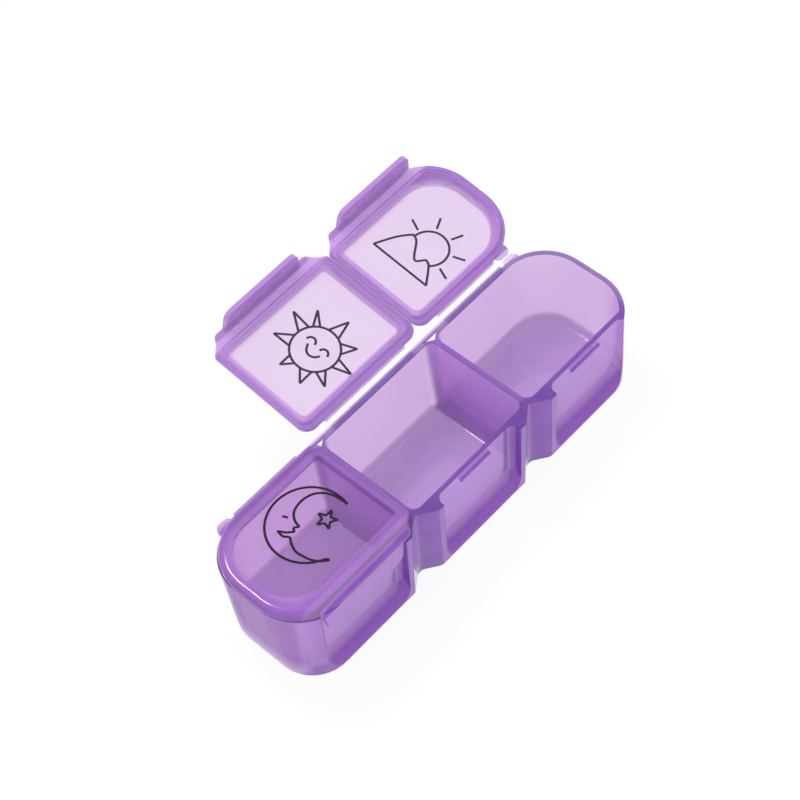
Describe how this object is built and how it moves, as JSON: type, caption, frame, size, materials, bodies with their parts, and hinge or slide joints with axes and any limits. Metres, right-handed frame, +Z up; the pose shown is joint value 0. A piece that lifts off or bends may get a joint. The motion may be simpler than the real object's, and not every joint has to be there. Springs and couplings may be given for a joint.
{
  "type": "pill organizer",
  "caption": "Translucent purple daily pill organizer: a row of cups moulded in one tray, each under its own flap lid on a living hinge with a snap tab in front",
  "frame": {"origin": "centre of the tray's flat underside", "axes": "+X along the row of cups, from the lid that is shut (night) to the far open lid (morning); +Y to the hinges at the back; +Z up"},
  "size_m": [0.103, 0.0614, 0.0333],
  "materials": {
    "tray_plastic": "glossy translucent purple polypropylene",
    "lid_plastic": "glossy translucent pale purple polypropylene with dark printed signs",
    "film_plastic": "thin flexed film, almost clear"
  },
  "bodies": {
    "tray": {"tray": "tray_plastic", "hinge_morning": "film_plastic", "hinge_noon": "film_plastic", "hinge_night": "film_plastic"},
    "lid_morning": {"lid_morning": "lid_plastic"},
    "lid_noon": {"lid_noon": "lid_plastic"},
    "lid_night": {"lid_night": "lid_plastic"}
  },
  "joints": [
    {"name": "open_morning", "type": "hinge", "parent": "tray", "child": "lid_morning", "pos_m": [0.034, 0.0161, 0.0228], "axis": [-1, 0, 0], "range_deg": [-170, 10], "deforming": ["hinge_morning"]},
    {"name": "open_noon", "type": "hinge", "parent": "tray", "child": "lid_noon", "pos_m": [0, 0.0161, 0.0228], "axis": [-1, 0, 0], "range_deg": [-170, 10], "deforming": ["hinge_noon"]},
    {"name": "open_night", "type": "hinge", "parent": "tray", "child": "lid_night", "pos_m": [-0.034, 0.0161, 0.0228], "axis": [-1, 0, 0], "range_deg": [0, 180], "deforming": ["hinge_night"]}
  ]
}
